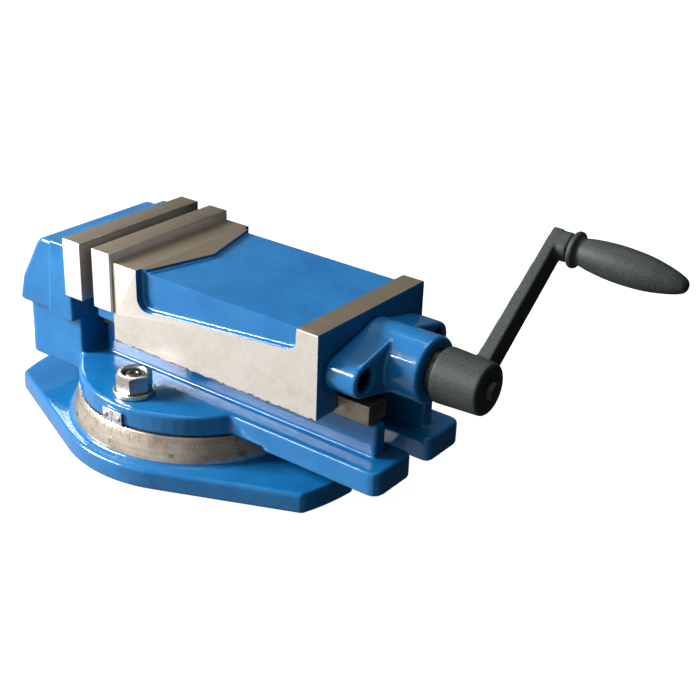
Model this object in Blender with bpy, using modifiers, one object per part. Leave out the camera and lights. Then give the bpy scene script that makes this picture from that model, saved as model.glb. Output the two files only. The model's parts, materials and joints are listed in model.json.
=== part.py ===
"""Swivel machine vise with 100 mm jaws, as separate solids.

Frame: +Z up, +X along the screw towards the crank, origin on the swivel axis at
the base's underside. Sizes are in millimetres and MM turns them into metres.
"""
import math

import bmesh
import bpy

MM = 0.001
GAP = 0.3                        # clearance between neighbouring solids
MERGE = 0.00001                  # modifiers merge points closer than this, in metres

# Swivel base
BASE_THICK = 13.0
BASE_DISC_R = 86.0
LUG_END_X = 115.3
LUG_HALF_Y = 43.4
BASE_SLOT_HALF = 7.0
BASE_SLOT_CENTRE = 102.0
RING_FOOT_R = 78.4
RING_TOP_R = 73.5
RING_TOP = 29.2
PIVOT_R = 12.0
PIVOT_LOW = 6.3
T_SLOT_R = 56.0
T_NECK_HALF = 6.6
T_ROOM_HALF = 11.8
T_ROOM_LOW = 11.5
T_ROOM_HIGH = 20.0

# Bed casting
BED_LOW = RING_TOP + GAP
BED_TOP = 42.3
BED_REAR = -107.8
BED_FRONT = 162.2
BED_HALF = 41.0
BED_FRONT_HALF = 40.8            # the bed narrows a little past the lugs
BED_SLOT_HALF = 8.0
FLANGE_REAR = 82.0               # past the ring the flange hangs a little lower
FLANGE_LOW = 27.9
BED_SLOT_DEPTH = 36.0
NUT_LUG_R = 73.2
WALL_IN = 18.5
WALL_OUT = 27.5
WALL_REAR = -52.5
WALL_FRONT = 151.2
WALL_TOP = 61.7

# Ways on the walls
WAY_IN = 14.0
WAY_OUT = 30.0
WAY_LOW = WALL_TOP + GAP
WAY_TOP = 73.5
WAY_REAR = -52.0
WAY_FRONT = 147.6
WAY_SCREWS_X = (-42.0, 45.0, 132.0)

# Jaws
JAW_HALF = 48.2
JAW_TOP = 114.6
PLATE_HALF = 50.0
PLATE_LOW = 83.5
PLATE_TOP = 119.8
PLATE_THICK = 14.6
PLATE_SCREW_Y = 28.0
PLATE_SCREW_Z = 100.0
FIXED_FACE = -47.2               # gripping face of the fixed plate
MOVING_FACE = -37.4              # gripping face of the moving plate
JAW_FRONT = -22.0
JAW_END = 126.6
JAW_LOW = 65.1
JAW_NOTCH_X = -26.5
JAW_NOTCH_TOP = 76.5
ROOM_FRONT = -4.0                # room inside the moving jaw
ROOM_END = 110.0
ROOM_HALF = 16.0
ROOM_LOW = 79.0                  # its floor, a web over the ways, slotted for the nut
ROOM_TOP = 105.5
CHANNEL_TOP = WAY_TOP + GAP
TONGUE_HALF = WAY_IN - GAP
TONGUE_LOW = WALL_TOP
RECESS_Y = 43.5
RECESS_Z = 112.5

# Screw line
SCREW_Z = 90.1
SCREW_R = 9.0
BOSS_R = 19.0
BOSS_END = 168.0
EAR_Y = 33.5
EAR_R = 10.0
EAR_FRONT = 147.4
COLLAR_R = 15.0
COLLAR_REAR = 130.0
COLLAR_FRONT = 134.6
POCKET_END = 138.0
BUSH_R = 11.2

# Screw nut
NUT_REAR = 66.0
NUT_FRONT = 98.0
NUT_HALF = 12.5
FOOT_REAR = 54.0
FOOT_FRONT = 110.0
FOOT_SCREWS_X = {"rear": 60.0, "front": 104.0}
FOOT_HALF = 17.0
FOOT_TOP = 53.0

# Keepers under the ways
KEEPER_HALF = 17.7
KEEPER_LOW = FOOT_TOP + 0.6
KEEPER_TOP = TONGUE_LOW - GAP
KEEPER_SPANS = {"front": (-20.0, -5.0), "rear": (111.0, 125.0)}
KEEPER_SCREW_Y = 8.0

# Crank
HUB_R = 14.4
HUB_REAR_R = 15.6
HUB_REAR = 172.9
HUB_END = 201.0
SQUARE_HALF = 6.0
ARM_REAR_HUB = 187.5              # the arm's rear face, at the hub and at the grip
ARM_REAR_END = 190.0
ARM_FRONT = 196.3
ARM_ANGLE = math.radians(38.2)
ARM_REACH = 92.2                 # screw axis to grip axis
ARM_HALF_HUB = 6.7
ARM_HALF_END = 7.1
NECK_FRONT = 202.6
GRIP_LEAN = math.radians(3.2)
GRIP_START = 203.2
SPINDLE_R = 4.0

# Cap screws by thread diameter: head radius and head height
CAP_HEADS = {5: (4.2, 5.0), 6: (5.0, 6.0), 8: (6.5, 8.0), 10: (8.0, 10.0)}

# Rotations that turn a piece's own Z, or an outline's plane, the named way
PLANES = {"XY": (0.0, 0.0, 0.0), "XZ": (math.pi / 2, 0.0, 0.0), "YZ": (math.pi / 2, 0.0, math.pi / 2)}
ALONG = {"+Z": (0.0, 0.0, 0.0), "-Z": (math.pi, 0.0, 0.0), "+X": (0.0, math.pi / 2, 0.0),
         "-X": (0.0, -math.pi / 2, 0.0), "-Y": (math.pi / 2, 0.0, 0.0)}

FINISHES = {                     # colour, roughness, metallic
    "blue_enamel": ((0.03, 0.20, 0.52), 0.25, 0.0),
    "machined_iron": ((0.56, 0.52, 0.46), 0.38, 0.9),
    "ground_steel": ((0.60, 0.57, 0.52), 0.28, 1.0),
    "zinc_plate": ((0.72, 0.64, 0.42), 0.32, 1.0),
    "plain_steel": ((0.50, 0.50, 0.50), 0.35, 1.0),
    "black_steel": ((0.05, 0.05, 0.05), 0.45, 0.8),
    "bronze": ((0.62, 0.42, 0.20), 0.35, 1.0),
    "crank_iron": ((0.05, 0.06, 0.06), 0.62, 0.3),
    "aluminium": ((0.75, 0.75, 0.75), 0.4, 1.0),
}


# ---------------------------------------------------------------- set-up

def clear_scene():
    for obj in list(bpy.data.objects):
        bpy.data.objects.remove(obj, do_unlink=True)


def new_group(name):
    group = bpy.data.collections.new(name)
    bpy.context.scene.collection.children.link(group)
    return group


def make_finishes():
    made = {}
    for name, (colour, roughness, metallic) in FINISHES.items():
        mat = bpy.data.materials.new(name)
        mat.use_nodes = True
        shader = mat.node_tree.nodes["Principled BSDF"]
        shader.inputs["Base Color"].default_value = (*colour, 1.0)
        shader.inputs["Roughness"].default_value = roughness
        shader.inputs["Metallic"].default_value = metallic
        made[name] = mat
    return made


clear_scene()
PARTS = new_group("machine_vise")
TOOLS = new_group("cutters")
FINISH = make_finishes()


def axis_empty(name, at, rotation=(0.0, 0.0, 0.0)):
    empty = bpy.data.objects.new(name, None)
    empty.location = [value * MM for value in at]
    empty.rotation_euler = rotation
    PARTS.objects.link(empty)
    return empty


# ---------------------------------------------------------------- shapes

def add_bevel(obj, width, segments=1):
    bevel = obj.modifiers.new("rounding", "BEVEL")
    bevel.width = width * MM
    bevel.segments = segments
    bevel.limit_method = "ANGLE"
    bevel.angle_limit = math.radians(40)
    bevel.use_clamp_overlap = False


def box(name, x, y, z, round_by=0.0):
    """A box between the low and high values of x, y and z."""
    bm = bmesh.new()
    bmesh.ops.create_cube(bm, size=1.0)
    spans = (x, y, z)
    bmesh.ops.scale(bm, verts=bm.verts, vec=[(high - low) * MM for low, high in spans])
    mesh = bpy.data.meshes.new(name)
    bm.to_mesh(mesh)
    bm.free()
    obj = bpy.data.objects.new(name, mesh)
    obj.location = [(low + high) / 2 * MM for low, high in spans]
    PARTS.objects.link(obj)
    if round_by:
        add_bevel(obj, round_by)
    return obj


def rounded(corners, steps=5):
    """Points of an outline whose corners (x, y, radius) are rounded by arcs."""
    points = []
    count = len(corners)
    for i, (x, y, radius) in enumerate(corners):
        if not radius:
            points.append((x, y))
            continue
        before = corners[i - 1]
        after = corners[(i + 1) % count]
        to_before = math.atan2(before[1] - y, before[0] - x)
        to_after = math.atan2(after[1] - y, after[0] - x)
        turn = (to_after - to_before + math.pi) % (2 * math.pi) - math.pi
        reach = radius / math.sin(abs(turn) / 2)
        middle = to_before + turn / 2
        cx = x + reach * math.cos(middle)
        cy = y + reach * math.sin(middle)
        side = math.copysign(1.0, turn)
        start = to_before - side * math.pi / 2
        sweep = side * (math.pi - abs(turn))
        for k in range(steps + 1):
            angle = start - sweep * k / steps
            points.append((cx + radius * math.cos(angle), cy + radius * math.sin(angle)))
    return points


def arc(radius, start, end, steps, centre=(0.0, 0.0)):
    """Points on an arc between two angles in degrees."""
    angles = [math.radians(start + (end - start) * k / steps) for k in range(steps + 1)]
    return [(centre[0] + radius * math.cos(a), centre[1] + radius * math.sin(a)) for a in angles]


def sharp(points):
    """Points as corners that rounded() leaves sharp."""
    return [(x, y, 0) for x, y in points]


def prism(name, plane, points, low, high, round_by=0.0):
    """A flat outline in a plane, as thick as low to high along the plane's normal."""
    curve = bpy.data.curves.new(name, "CURVE")
    curve.dimensions = "2D"
    curve.fill_mode = "BOTH"
    curve.extrude = (high - low) / 2 * MM
    spline = curve.splines.new("POLY")
    spline.points.add(len(points) - 1)
    for point, (x, y) in zip(spline.points, points):
        point.co = (x * MM, y * MM, 0.0, 1.0)
    spline.use_cyclic_u = True
    flat = bpy.data.objects.new(name, curve)
    normal = {"XY": 2, "XZ": 1, "YZ": 0}[plane]
    flat.location[normal] = (low + high) / 2 * MM
    flat.rotation_euler = PLANES[plane]
    PARTS.objects.link(flat)
    bpy.context.view_layer.update()
    mesh = bpy.data.meshes.new_from_object(flat.evaluated_get(bpy.context.evaluated_depsgraph_get()))
    bm = bmesh.new()
    bm.from_mesh(mesh)
    bmesh.ops.remove_doubles(bm, verts=bm.verts, dist=MERGE)
    bmesh.ops.dissolve_limit(bm, angle_limit=math.radians(0.5), verts=bm.verts, edges=bm.edges)
    bm.to_mesh(mesh)
    bm.free()
    obj = bpy.data.objects.new(name, mesh)
    obj.matrix_world = flat.matrix_world
    PARTS.objects.link(obj)
    bpy.data.objects.remove(flat, do_unlink=True)
    obj.name = name
    if round_by:
        add_bevel(obj, round_by)
    return obj


def turned(name, way, at, profile, sides=24, ring=False):
    """A turned piece. The profile's (radius, height) points run down its outer side."""
    verts = [(radius * MM, 0.0, height * MM) for radius, height in profile]
    edges = [(i, i + 1) for i in range(len(verts) - 1)]
    if ring:
        edges.append((len(verts) - 1, 0))
    mesh = bpy.data.meshes.new(name)
    mesh.from_pydata(verts, edges, [])
    obj = bpy.data.objects.new(name, mesh)
    obj.location = [value * MM for value in at]
    obj.rotation_euler = ALONG[way]
    PARTS.objects.link(obj)
    spin = obj.modifiers.new("spin", "SCREW")
    spin.axis = "Z"
    spin.angle = 2 * math.pi
    spin.steps = sides
    spin.render_steps = sides
    spin.use_merge_vertices = True
    spin.merge_threshold = MERGE
    spin.use_smooth_shade = True
    return obj


def rod(name, way, at, low, high, radius, sides=24, chamfer=0.0):
    """A cylinder from low to high along its own axis, with chamfered ends if wanted."""
    if chamfer:
        profile = [(0, high), (radius - chamfer, high), (radius, high - chamfer),
                   (radius, low + chamfer), (radius - chamfer, low), (0, low)]
    else:
        profile = [(0, high), (radius, high), (radius, low), (0, low)]
    return turned(name, way, at, profile, sides)


def tube(name, way, at, low, high, inner, outer, sides=24, chamfer=0.4):
    profile = [(outer - chamfer, high), (outer, high - chamfer), (outer, low + chamfer),
               (outer - chamfer, low), (inner, low), (inner, high)]
    return turned(name, way, at, profile, sides, ring=True)


def combine(obj, how, tools):
    for tool in tools:
        for group in list(tool.users_collection):
            group.objects.unlink(tool)
        TOOLS.objects.link(tool)
        tool.hide_render = True
        tool.display_type = "WIRE"
        boolean = obj.modifiers.new(tool.name, "BOOLEAN")
        boolean.operation = how
        boolean.object = tool
    return obj


def cut(obj, *tools):
    return combine(obj, "DIFFERENCE", tools)


def join(obj, *tools):
    return combine(obj, "UNION", tools)


def finish(obj, finish_name, parent):
    """Gives a piece its material and hangs it on its body's empty, where it stands."""
    obj.data.materials.clear()
    obj.data.materials.append(FINISH[finish_name])
    bpy.context.view_layer.update()
    place = obj.matrix_world.copy()
    obj.parent = parent
    obj.matrix_parent_inverse = parent.matrix_world.inverted()
    obj.matrix_world = place
    return obj


def cap_screw(name, way, at, thread, length, parent, sides=12):
    """A socket cap screw. Its head's top is at the given point and the thread runs back."""
    head_r, head_h = CAP_HEADS[thread]
    edge = 0.08 * thread
    profile = [(0, 0), (head_r - edge, 0), (head_r, -edge), (head_r, -head_h), (thread / 2, -head_h),
               (thread / 2, -head_h - length), (0, -head_h - length)]
    screw = turned(name, way, at, profile, sides)
    socket = rod(name + "_socket", way, at, -0.5 * thread, 1.0, 0.46 * thread, sides=6)
    return finish(cut(screw, socket), "black_steel", parent)


def screw_hole(name, way, at, thread, length, sides=12):
    """Room for a cap screw: a counterbore over its head and a hole for its shank."""
    head_r, head_h = CAP_HEADS[thread]
    head_r += 0.5
    shank_r = thread / 2 + GAP
    bottom = -head_h - GAP
    profile = [(0, 30), (head_r, 30), (head_r, bottom), (shank_r, bottom),
               (shank_r, bottom - length), (0, bottom - length)]
    return turned(name, way, at, profile, sides)


# ---------------------------------------------------------------- bodies

def build_base(axis):
    reach = math.hypot(LUG_END_X, LUG_HALF_Y)
    end_angle = math.degrees(math.atan2(LUG_HALF_Y, LUG_END_X))
    touch_angle = end_angle + math.degrees(math.acos(BASE_DISC_R / reach))
    outline = []
    for turn in (0, 180):
        outline += arc(reach, turn - end_angle, turn + end_angle, 10)
        outline += arc(BASE_DISC_R, turn + touch_angle, turn + 180 - touch_angle, 14)
    base = prism("swivel_base", "XY", outline, 0, BASE_THICK, round_by=1.5)
    ring = turned("base_ring", "+Z", (0, 0, 0),
                  [(0, RING_TOP), (RING_TOP_R - 0.8, RING_TOP), (RING_TOP_R, RING_TOP - 0.8),
                   (RING_FOOT_R, BASE_THICK + 1.8), (RING_FOOT_R + 0.7, BASE_THICK + 0.7),
                   (RING_FOOT_R + 2.0, BASE_THICK), (RING_FOOT_R + 2.0, 6.0), (0, 6.0)], sides=72)
    join(base, ring)
    t_slot = turned("t_slot", "+Z", (0, 0, 0),
                    [(T_SLOT_R + T_NECK_HALF, 40), (T_SLOT_R + T_NECK_HALF, T_ROOM_HIGH),
                     (T_SLOT_R + T_ROOM_HALF, T_ROOM_HIGH), (T_SLOT_R + T_ROOM_HALF, T_ROOM_LOW),
                     (T_SLOT_R - T_ROOM_HALF, T_ROOM_LOW), (T_SLOT_R - T_ROOM_HALF, T_ROOM_HIGH),
                     (T_SLOT_R - T_NECK_HALF, T_ROOM_HIGH), (T_SLOT_R - T_NECK_HALF, 40)],
                    sides=48, ring=True)
    entry = rod("t_slot_entry", "+Z", (T_SLOT_R, 0, 0), T_ROOM_LOW + 0.4, 40, 12.6, sides=24)
    bore = rod("pivot_bore", "+Z", (0, 0, 0), PIVOT_LOW - GAP, 40, PIVOT_R + GAP)
    slots = []
    for turn, side in ((0, "front"), (180, "rear")):
        sign = math.cos(math.radians(turn))
        mouth = arc(BASE_SLOT_HALF, turn + 90, turn + 270, 10, (sign * BASE_SLOT_CENTRE, 0))
        mouth += [(sign * 140, -sign * BASE_SLOT_HALF), (sign * 140, sign * BASE_SLOT_HALF)]
        slots.append(prism("base_slot_" + side, "XY", mouth, -5, 25))
    cut(base, t_slot, entry, bore, *slots)
    finish(base, "blue_enamel", axis)
    finish(rod("pivot_pin", "+Z", (0, 0, 0), PIVOT_LOW, 37.5, PIVOT_R, chamfer=1.0), "plain_steel", axis)


def fixed_jaw_blocks():
    lower = prism("jaw_block_low", "XY",
                  rounded([(BED_REAR + 0.2, -BED_HALF + 0.2, 5), (-60, -BED_HALF + 0.2, 1.5),
                           (-60, BED_HALF - 0.2, 1.5), (BED_REAR + 0.2, BED_HALF - 0.2, 5)], 3), 36, 68)
    front = prism("jaw_block_front", "XZ",
                  [(-59, 65.5), (-59, PLATE_LOW - GAP), (FIXED_FACE - PLATE_THICK - GAP, PLATE_LOW - GAP),
                   (FIXED_FACE - PLATE_THICK - GAP, 114.5), (-76, 114.5), (-80.9, 65.5)],
                  -JAW_HALF, JAW_HALF, round_by=0.8)
    rear = prism("jaw_block_rear", "XZ",
                 [(-70, 65.8), (-70, 112.3), (-87.3, 112.3), (-91.5, 108), (-98.6, 95.5),
                  (-105.8, 83.5), (-109.9, 68), (-108.9, 65.8)], -45.5, 45.5, round_by=1.8)
    return lower, front, rear


def build_bed(axis):
    meet = math.degrees(math.asin(BED_HALF / NUT_LUG_R))
    slot_end = BED_FRONT - BED_SLOT_DEPTH
    meet_x = NUT_LUG_R * math.cos(math.radians(meet))
    corners = [(BED_REAR, BED_HALF, 5), (BED_REAR, -BED_HALF, 5), (-meet_x, -BED_HALF, 4)]
    corners += sharp(arc(NUT_LUG_R, 180 + meet, 360 - meet, 22)[1:-1])
    corners += [(meet_x, -BED_FRONT_HALF, 4), (BED_FRONT, -BED_FRONT_HALF, 6), (BED_FRONT, -BED_SLOT_HALF, 4)]
    corners += sharp(arc(BED_SLOT_HALF, 270, 90, 10, (slot_end, 0)))
    corners += [(BED_FRONT, BED_SLOT_HALF, 4), (BED_FRONT, BED_FRONT_HALF, 6), (meet_x, BED_FRONT_HALF, 4)]
    corners += sharp(arc(NUT_LUG_R, meet, 180 - meet, 22)[1:-1])
    corners += [(-meet_x, BED_HALF, 4)]
    bed = prism("vise_bed", "XY", rounded(corners, 3), BED_LOW, BED_TOP, round_by=1.2)
    flange = [(FLANGE_REAR, -BED_FRONT_HALF, 4), (BED_FRONT, -BED_FRONT_HALF, 6),
              (BED_FRONT, -BED_SLOT_HALF, 4)]
    flange += sharp(arc(BED_SLOT_HALF, 270, 90, 10, (slot_end, 0)))
    flange += [(BED_FRONT, BED_SLOT_HALF, 4), (BED_FRONT, BED_FRONT_HALF, 6), (FLANGE_REAR, BED_FRONT_HALF, 4)]
    walls = [prism("flange_drop", "XY", rounded(flange, 3), FLANGE_LOW, 38)]
    for side, sign in (("near", -1), ("far", 1)):
        low, high = sorted((sign * WALL_IN, sign * WALL_OUT))
        walls.append(box("wall_" + side, (WALL_REAR, WALL_FRONT), (low, high), (36, WALL_TOP), round_by=1.2))
    join(bed, *walls, *fixed_jaw_blocks())

    holes = [rod("bed_pivot_bore", "+Z", (0, 0, 0), 20, 38, PIVOT_R + GAP)]
    for side, sign in (("near", -1), ("far", 1)):
        holes.append(rod("clamp_hole_" + side, "+Z", (0, sign * T_SLOT_R, 0), 20, 60, 6.6, sides=16))
        for number, x in enumerate(WAY_SCREWS_X, 1):
            holes.append(rod(f"way_tap_{side}_{number}", "+Z", (x, sign * 23, 0), 50.5, 70, 2.8, sides=8))
        seat = (0, sign * PLATE_SCREW_Y, PLATE_SCREW_Z)
        holes.append(rod("plate_tap_" + side, "+X", seat, -79, -50, 5.3, sides=12))
    for side, sign in (("left", -1), ("right", 1)):
        holes.append(rod("rivet_hole_" + side, "-Y", (sign * 5.2, 0, 33.8), 69, 80, 1.2, sides=12))
    for side, x in FOOT_SCREWS_X.items():
        holes.append(rod("foot_tap_" + side, "+Z", (x, 0, 0), 33, 50, 3.3, sides=12))
    cut(bed, *holes)
    finish(bed, "blue_enamel", axis)


def build_ways(axis):
    for side, sign in (("near", -1), ("far", 1)):
        low, high = sorted((sign * WAY_IN, sign * WAY_OUT))
        way = box("way_" + side, (WAY_REAR, WAY_FRONT), (low, high), (WAY_LOW, WAY_TOP), round_by=0.5)
        for number, x in enumerate(WAY_SCREWS_X, 1):
            top = (x, sign * 23, WAY_TOP - 0.3)
            cut(way, screw_hole(f"way_hole_{side}_{number}", "+Z", top, 5, 20))
            cap_screw(f"way_screw_{side}_{number}", "+Z", top, 5, 16, axis)
        finish(way, "machined_iron", axis)


def build_jaw_plate(name, face, outward, axis):
    """A hardened plate with two cap screws let into its gripping face."""
    back = face - outward * PLATE_THICK
    x = sorted((face, back))
    plate = box(name + "_jaw_plate", x, (-PLATE_HALF, PLATE_HALF), (PLATE_LOW, PLATE_TOP), round_by=0.5)
    way = "+X" if outward > 0 else "-X"
    for side, sign in (("near", -1), ("far", 1)):
        top = (face - outward * 0.4, sign * PLATE_SCREW_Y, PLATE_SCREW_Z)
        cut(plate, screw_hole(f"{name}_plate_hole_{side}", way, top, 10, 30))
        cap_screw(f"{name}_plate_screw_{side}", way, top, 10, 18, axis)
    finish(plate, "ground_steel", axis)


def build_clamps(axis):
    """T-bolt, washer and nut through each round lug of the bed."""
    for side, sign in (("near", -1), ("far", 1)):
        y = sign * T_SLOT_R
        bolt = rod("clamp_bolt_" + side, "+Z", (0, y, 0), 16, 54.6, 6.0, sides=16, chamfer=0.8)
        head = box("clamp_head_" + side, (-10.5, 10.5), (y - 9.5, y + 9.5), (12.2, T_ROOM_HIGH - GAP),
                   round_by=0.8)
        join(bolt, head)
        finish(bolt, "plain_steel", axis)
        washer = tube("clamp_washer_" + side, "+Z", (0, y, 0), BED_TOP + GAP, BED_TOP + 2.9, 6.5, 12.3)
        finish(washer, "zinc_plate", axis)
        nut = rod("clamp_nut_" + side, "+Z", (0, y, 0), BED_TOP + 3.2, BED_TOP + 13.4, 10.8, sides=6)
        crown = turned("clamp_crown_" + side, "+Z", (0, y, 0),
                       [(0, BED_TOP + 13.6), (9.2, BED_TOP + 13.6), (11.6, BED_TOP + 12.1),
                        (11.6, BED_TOP + 4.3), (9.8, BED_TOP + 3.1), (0, BED_TOP + 3.1)], sides=24)
        combine(nut, "INTERSECT", [crown])
        cut(nut, rod("clamp_nut_hole_" + side, "+Z", (0, y, 0), 40, 62, 6.4, sides=16))
        finish(nut, "plain_steel", axis)


def build_index_plate(axis):
    face = NUT_LUG_R + 0.3
    plate = box("index_plate", (-7.6, 7.4), (-face - 1.1, -face), (BED_LOW + 0.3, 38.0), round_by=0.2)
    for side, sign in (("left", -1), ("right", 1)):
        hole = rod("index_hole_" + side, "-Y", (sign * 5.2, 0, 33.8), 60, 80, 1.2, sides=12)
        cut(plate, hole)
        rivet = turned("index_rivet_" + side, "-Y", (sign * 5.2, 0, 33.8),
                       [(0, face + 2.2), (1.2, face + 2.0), (1.9, face + 1.4), (0.9, face + 1.4),
                        (0.9, 69.4), (0, 69.4)], sides=12)
        finish(rivet, "plain_steel", axis)
    finish(plate, "aluminium", axis)


def build_screw_nut(axis):
    nut = box("screw_nut", (FOOT_REAR, FOOT_FRONT), (-FOOT_HALF, FOOT_HALF), (BED_TOP + GAP, FOOT_TOP),
              round_by=0.8)
    column = prism("nut_column", "YZ",
                   rounded([(-NUT_HALF, 50, 0), (NUT_HALF, 50, 0), (NUT_HALF, ROOM_TOP - 1, 5),
                            (-NUT_HALF, ROOM_TOP - 1, 5)], 3), NUT_REAR, NUT_FRONT)
    join(nut, column)
    cut(nut, rod("nut_bore", "+X", (0, 0, SCREW_Z), 50, 120, SCREW_R + GAP, sides=24))
    for side, x in FOOT_SCREWS_X.items():
        top = (x, 0, FOOT_TOP - 0.2)
        cut(nut, screw_hole("foot_hole_" + side, "+Z", top, 6, 20))
        cap_screw("nut_screw_" + side, "+Z", top, 6, 13, axis)
    finish(nut, "bronze", axis)


def build_moving_jaw(axis):
    ledge = PLATE_LOW - GAP
    side_view = [(MOVING_FACE, ledge, 0.8), (MOVING_FACE, JAW_NOTCH_TOP, 1.5),
                 (JAW_NOTCH_X, JAW_NOTCH_TOP, 5), (JAW_NOTCH_X, JAW_LOW, 0.8), (JAW_END, JAW_LOW, 0.8),
                 (JAW_END, JAW_TOP, 0.8), (JAW_FRONT, JAW_TOP, 0), (JAW_FRONT, ledge, 0)]
    jaw = prism("moving_jaw", "XZ", rounded(side_view, 4), -JAW_HALF, JAW_HALF)
    tongue_y = (-TONGUE_HALF, TONGUE_HALF)
    tongues = [box("tongue_front", (JAW_FRONT, ROOM_FRONT), tongue_y, (TONGUE_LOW, 80)),
               box("tongue_rear", (ROOM_END, JAW_END - 0.5), tongue_y, (TONGUE_LOW, 80))]
    channels = []
    for side, sign in (("near", -1), ("far", 1)):
        y = sorted((sign * TONGUE_HALF, sign * (WAY_OUT + GAP)))
        channels.append(box("channel_" + side, (-60, 140), y, (50, CHANNEL_TOP)))
        recess = rounded([(-3.5, 91, 7), (4.6, 91, 0), (106.6, 101, 0), (112, 104, 3),
                          (112, 130, 0), (-3.5, 130, 0)], 5)
        y = sorted((sign * RECESS_Y, sign * 60))
        channels.append(prism("side_recess_" + side, "XZ", recess, *y))
    top_recess = [(-4.5, -60), (11.7, 0), (-4.5, 60), (112.5, 60), (112.5, -60)]
    channels.append(prism("top_recess", "XY", top_recess, RECESS_Z, 130))
    room = box("jaw_room", (ROOM_FRONT, ROOM_END), (-ROOM_HALF, ROOM_HALF), (ROOM_LOW, ROOM_TOP))
    slot = box("jaw_slot", (ROOM_FRONT, ROOM_END), (-TONGUE_HALF - 1, TONGUE_HALF + 1), (55, 80))
    cut(jaw, *channels)
    join(jaw, *tongues)
    cut(jaw, room, slot, rod("screw_way", "+X", (0, 0, SCREW_Z), 100, 140, SCREW_R + 0.8))
    for side, sign in (("near", -1), ("far", 1)):
        plate_seat = (0, sign * PLATE_SCREW_Y, PLATE_SCREW_Z)
        cut(jaw, rod("moving_tap_" + side, "+X", plate_seat, -30, -7, 5.3, sides=12),
            rod("ear_tap_" + side, "+X", (0, sign * EAR_Y, SCREW_Z), 113.6, 140, 4.3, sides=12))
        for end, (low, high) in KEEPER_SPANS.items():
            seat = ((low + high) / 2, sign * KEEPER_SCREW_Y, 0)
            cut(jaw, rod(f"keeper_tap_{end}_{side}", "+Z", seat, 50, 74, 2.8, sides=8))
    finish(jaw, "machined_iron", axis)


def build_keepers(axis):
    """Hold-down plates bolted up under the jaw's tongues, reaching under both ways."""
    for end, (low, high) in KEEPER_SPANS.items():
        keeper = box("keeper_" + end, (low, high), (-KEEPER_HALF, KEEPER_HALF), (KEEPER_LOW, KEEPER_TOP),
                     round_by=0.5)
        for side, sign in (("near", -1), ("far", 1)):
            top = ((low + high) / 2, sign * KEEPER_SCREW_Y, KEEPER_LOW + 0.2)
            cut(keeper, screw_hole(f"keeper_hole_{end}_{side}", "-Z", top, 5, 20))
            cap_screw(f"keeper_screw_{end}_{side}", "-Z", top, 5, 13, axis)
        finish(keeper, "machined_iron", axis)


def build_bracket(axis):
    """Two-eared flange with the long boss that carries the screw."""
    waist_r = BOSS_R - 0.6
    lean = math.degrees(math.asin((waist_r - EAR_R) / EAR_Y))
    outline = [(0, SCREW_Z + waist_r)]
    outline += arc(EAR_R, 90 + lean, 270 - lean, 12, (-EAR_Y, SCREW_Z))
    outline += [(0, SCREW_Z - waist_r)]
    outline += arc(EAR_R, -90 + lean, 90 - lean, 12, (EAR_Y, SCREW_Z))
    bracket = prism("screw_bracket", "YZ", outline, JAW_END + GAP, EAR_FRONT, round_by=1.2)
    at = (0, 0, SCREW_Z)
    join(bracket, rod("bracket_boss", "+X", at, JAW_END + GAP + 0.1, BOSS_END, BOSS_R, sides=36, chamfer=1.2))
    for side, sign in (("near", -1), ("far", 1)):
        top = (EAR_FRONT - 2.5, sign * EAR_Y, SCREW_Z)
        cut(bracket, screw_hole("ear_hole_" + side, "+X", top, 8, 20))
        cap_screw("bracket_bolt_" + side, "+X", top, 8, 20.5, axis)
    cut(bracket, turned("bush_bore", "+X", at,
                        [(0, 180), (BUSH_R + GAP, 180), (BUSH_R + GAP, POCKET_END),
                         (COLLAR_R + 0.6, POCKET_END), (COLLAR_R + 0.6, 120), (0, 120)]))
    finish(bracket, "blue_enamel", axis)
    bush = tube("bracket_bush", "+X", at, POCKET_END + GAP, BOSS_END - GAP, SCREW_R + GAP, BUSH_R)
    finish(bush, "bronze", axis)
    for name, low, high in (("inner", JAW_END + 0.6, COLLAR_REAR - GAP),
                            ("outer", COLLAR_FRONT + GAP, POCKET_END - GAP)):
        washer = tube(f"thrust_washer_{name}", "+X", at, low, high, SCREW_R + 0.4, COLLAR_R)
        finish(washer, "bronze", axis)


def build_screw(axis):
    at = (0, 0, SCREW_Z)
    journal_end = HUB_REAR - GAP
    screw = turned("lead_screw", "+X", at,
                   [(0, journal_end), (SCREW_R, journal_end), (SCREW_R, COLLAR_FRONT),
                    (COLLAR_R, COLLAR_FRONT), (COLLAR_R, COLLAR_REAR), (SCREW_R, COLLAR_REAR),
                    (SCREW_R, 1.5), (SCREW_R - 1.5, 0), (0, 0)])
    square = box("screw_square", (170, 191.4), (-SQUARE_HALF, SQUARE_HALF),
                 (SCREW_Z - SQUARE_HALF, SCREW_Z + SQUARE_HALF))
    square.location = (square.location.x, 0, SCREW_Z * MM)
    square.rotation_euler = (ARM_ANGLE, 0, 0)
    join(screw, square)
    cut(screw, rod("screw_end_tap", "+X", at, 178, 200, 3.3, sides=16))
    finish(screw, "plain_steel", axis)
    middle = (BOSS_END + HUB_REAR) / 2
    collar = tube("stop_collar", "+X", at, BOSS_END + 0.4, HUB_REAR - 0.4, SCREW_R + GAP, 13.2, chamfer=0.5)
    cut(collar, rod("collar_tap", "+Z", (middle, 0, SCREW_Z), 5, 20, 1.35, sides=12))
    finish(collar, "plain_steel", axis)
    grub = rod("collar_set_screw", "+Z", (middle, 0, SCREW_Z), SCREW_R + 0.35, 12.9, 1.0, sides=12)
    finish(grub, "black_steel", axis)
    bolt = rod("crank_bolt", "+X", at, HUB_END + GAP, HUB_END + 3.8, 5.4, sides=6, chamfer=0.5)
    join(bolt, rod("crank_bolt_shank", "+X", at, 180, HUB_END + 2, 3.0, sides=16))
    finish(bolt, "crank_iron", axis)


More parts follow.
